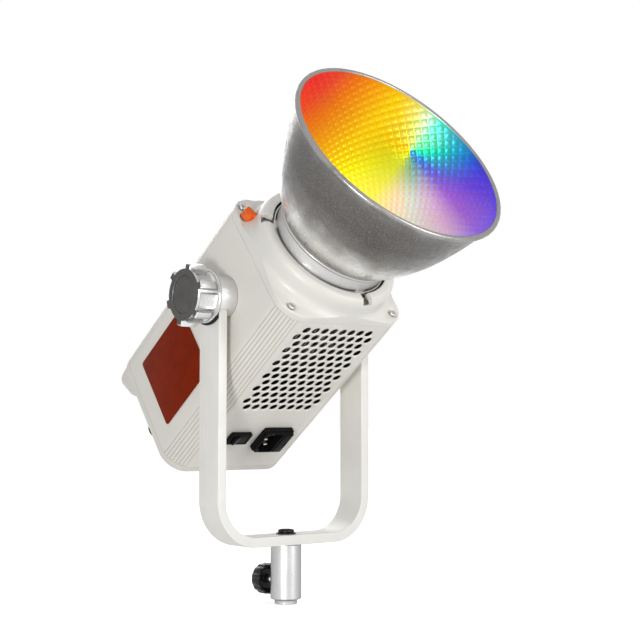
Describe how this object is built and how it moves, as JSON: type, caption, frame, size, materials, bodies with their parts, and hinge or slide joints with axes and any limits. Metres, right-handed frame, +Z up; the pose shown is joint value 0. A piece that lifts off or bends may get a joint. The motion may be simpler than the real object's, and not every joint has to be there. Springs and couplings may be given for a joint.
{
  "type": "led video light",
  "caption": "Square LED video light head with a bayonet reflector, tilting in a U-shaped yoke with a clamping knob and a stand socket.",
  "frame": {"origin": "centre of the stand socket's lower rim", "axes": "+Z up along the socket, -Y the way the lamp looks when level, X along the tilt axis with the tilt knob at -X"},
  "size_m": [0.1899, 0.3592, 0.4139],
  "materials": {
    "cream_paint": "cream paint on aluminium, satin",
    "cream_ring": "cream paint on cast aluminium, satin",
    "orange_plastic": "orange moulded plastic",
    "red_brown_plate": "red-brown anodised plate",
    "spun_aluminium": "spun aluminium, dimpled inside",
    "silver": "brushed aluminium",
    "steel": "plated steel",
    "black_steel": "black steel",
    "black_plastic": "black moulded plastic",
    "dark_grey": "dark grey plastic",
    "board": "circuit board laminate",
    "copper_winding": "copper winding",
    "phosphor": "yellow phosphor",
    "ceramic": "white ceramic",
    "glass": "clear glass",
    "screen": "dark screen window",
    "rubber": "black friction material",
    "pin_metal": "nickel-plated brass",
    "heat_sink_metal": "plain aluminium"
  },
  "bodies": {
    "yoke": {"yoke_bracket": "cream_paint", "pivot_collar_left": "silver", "pivot_collar_right": "silver", "friction_pad": "rubber", "stand_receiver": "silver", "base_screw": "black_steel", "base_washer": "black_steel"},
    "head": {"bezel_screw_1": "black_steel", "bezel_screw_2": "black_steel", "bezel_screw_3": "black_steel", "bezel_screw_4": "black_steel", "cob_board": "ceramic", "cob_emitter": "phosphor", "cob_holder": "ceramic", "control_board": "board", "cover_glass": "glass", "display_panel": "dark_grey", "display_window": "screen", "encoder_left": "dark_grey", "encoder_right": "dark_grey", "fan_frame": "black_plastic", "front_bezel": "cream_ring", "heat_sink": "heat_sink_metal", "housing_extrusion": "cream_paint", "inlet_body": "black_plastic", "inlet_pin_earth": "pin_metal", "inlet_pin_line": "pin_metal", "inlet_pin_neutral": "pin_metal", "pivot_bolt_right": "steel", "pivot_plate_left": "steel", "pivot_plate_right": "steel", "power_board": "board", "power_capacitor": "dark_grey", "power_transformer": "copper_winding", "rear_cover": "cream_paint", "rocker_frame": "black_plastic", "side_plate": "red_brown_plate", "tilt_stud": "steel"},
    "clamp_screw": {"clamp_knob": "black_plastic", "clamp_shank": "steel"},
    "tilt_clamp": {"tilt_knob": "silver", "tilt_knob_cap": "dark_grey"},
    "latch": {"release_latch": "orange_plastic"},
    "reflector_unit": {"reflector": "spun_aluminium", "reflector_ring": "silver"},
    "rocker": {"power_rocker": "black_plastic"},
    "fuse_tray": {"fuse_drawer": "black_plastic", "fuse_cartridge": "glass"},
    "dial_left": {"control_knob_left": "black_plastic"},
    "dial_right": {"control_knob_right": "black_plastic"},
    "fan": {"fan_rotor": "dark_grey"},
    "push_1": {"button_1": "dark_grey"},
    "push_2": {"button_2": "dark_grey"},
    "push_3": {"button_3": "dark_grey"},
    "push_4": {"button_4": "dark_grey"}
  },
  "joints": [
    {"name": "head_tilt", "type": "hinge", "parent": "yoke", "child": "head", "pos_m": [0, 0, 0.2398], "axis": [-1, 0, 0], "range_deg": [-92, 53]},
    {"name": "tilt_knob_turn", "type": "hinge", "parent": "head", "child": "tilt_clamp", "pos_m": [-0.078, 0, 0.2398], "axis": [-1, 0, 0], "continuous": true},
    {"name": "clamp_screw_turn", "type": "hinge", "parent": "yoke", "child": "clamp_screw", "pos_m": [0, 0.02005, 0.0173], "axis": [0, 1, 0], "continuous": true},
    {"name": "latch_slide", "type": "slide", "parent": "head", "child": "latch", "axis": [0, 0.7986, -0.6018], "range_m": [0, 0.0035], "stiffness_N_per_m": 300, "springref_m": -0.003},
    {"name": "reflector_twist", "type": "hinge", "parent": "head", "child": "reflector_unit", "pos_m": [0, -0.04896, 0.27669], "axis": [0, -0.7986, 0.6018], "range_deg": [0, 14]},
    {"name": "rocker_press", "type": "hinge", "parent": "head", "child": "rocker", "pos_m": [-0.017, 0.04119, 0.13063], "axis": [0, 0.7986, -0.6018], "range_deg": [0, 22]},
    {"name": "fuse_drawer_slide", "type": "slide", "parent": "head", "child": "fuse_tray", "axis": [0, -0.6018, -0.7986], "range_m": [0, 0.012]},
    {"name": "dial_left_turn", "type": "hinge", "parent": "head", "child": "dial_left", "pos_m": [-0.042, 0.11326, 0.14318], "axis": [0, 0.7986, -0.6018], "continuous": true},
    {"name": "dial_right_turn", "type": "hinge", "parent": "head", "child": "dial_right", "pos_m": [0.042, 0.11326, 0.14318], "axis": [0, 0.7986, -0.6018], "continuous": true},
    {"name": "fan_spin", "type": "hinge", "parent": "head", "child": "fan", "pos_m": [0, 0.02819, 0.21856], "axis": [0, -0.7986, 0.6018], "continuous": true},
    {"name": "button_1_press", "type": "slide", "parent": "head", "child": "push_1", "axis": [0, -0.7986, 0.6018], "range_m": [0, 0.0008], "stiffness_N_per_m": 200, "springref_m": -0.001},
    {"name": "button_2_press", "type": "slide", "parent": "head", "child": "push_2", "axis": [0, -0.7986, 0.6018], "range_m": [0, 0.0008], "stiffness_N_per_m": 200, "springref_m": -0.001},
    {"name": "button_3_press", "type": "slide", "parent": "head", "child": "push_3", "axis": [0, -0.7986, 0.6018], "range_m": [0, 0.0008], "stiffness_N_per_m": 200, "springref_m": -0.001},
    {"name": "button_4_press", "type": "slide", "parent": "head", "child": "push_4", "axis": [0, -0.7986, 0.6018], "range_m": [0, 0.0008], "stiffness_N_per_m": 200, "springref_m": -0.001}
  ]
}
